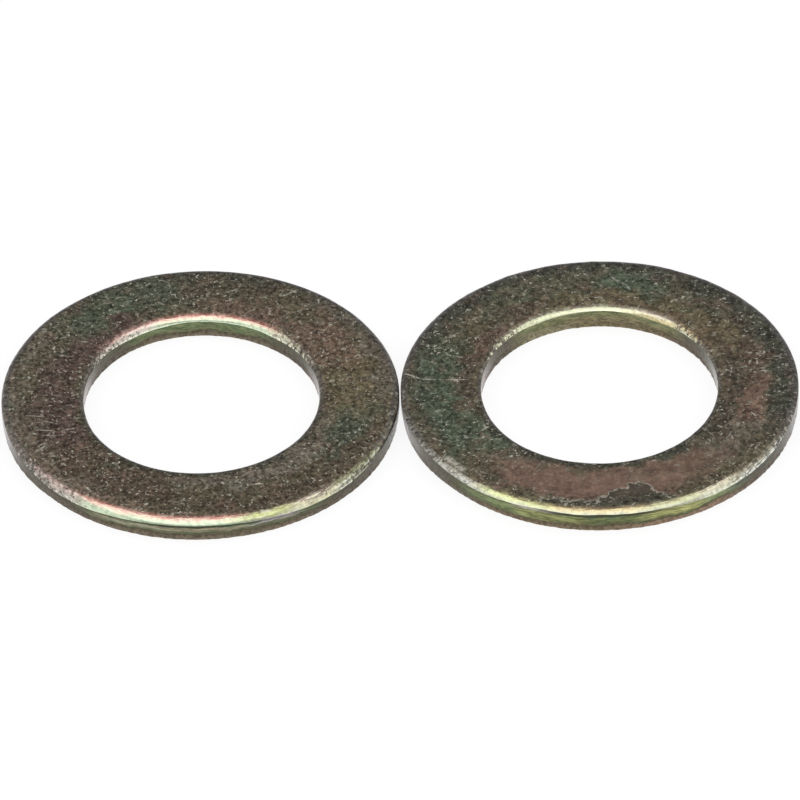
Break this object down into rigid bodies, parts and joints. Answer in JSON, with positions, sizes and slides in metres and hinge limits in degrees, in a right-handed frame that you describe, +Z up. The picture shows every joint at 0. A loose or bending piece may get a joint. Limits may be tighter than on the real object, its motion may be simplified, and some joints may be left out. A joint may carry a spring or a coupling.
{
  "type": "flat washer pair",
  "caption": "Plain flat washers lying side by side: thin stamped steel rings with rolled upper edges, sheared walls and a round bore that spreads a bolt's load. Dark yellow-zinc finish.",
  "frame": {"origin": "midway between the two washers, on the surface that their lower faces lie on", "axes": "+X from the left washer's axis to the right washer's, +Z up along both bores through the rolled upper faces, -Y towards the viewer of the picture"},
  "size_m": [0.0636, 0.0318, 0.0019],
  "materials": {
    "left_finish": "aged yellow chromate over zinc: dark olive-brown speckled flats with teal and red-brown clouds, and bright pink, cream and mint shoulders",
    "right_finish": "aged yellow chromate over zinc: dark olive-green speckled flats with teal and red-brown clouds, and bright orange, yellow-green and mint shoulders"
  },
  "bodies": {
    "root": {"left_washer": "left_finish", "right_washer": "right_finish"}
  },
  "joints": []
}
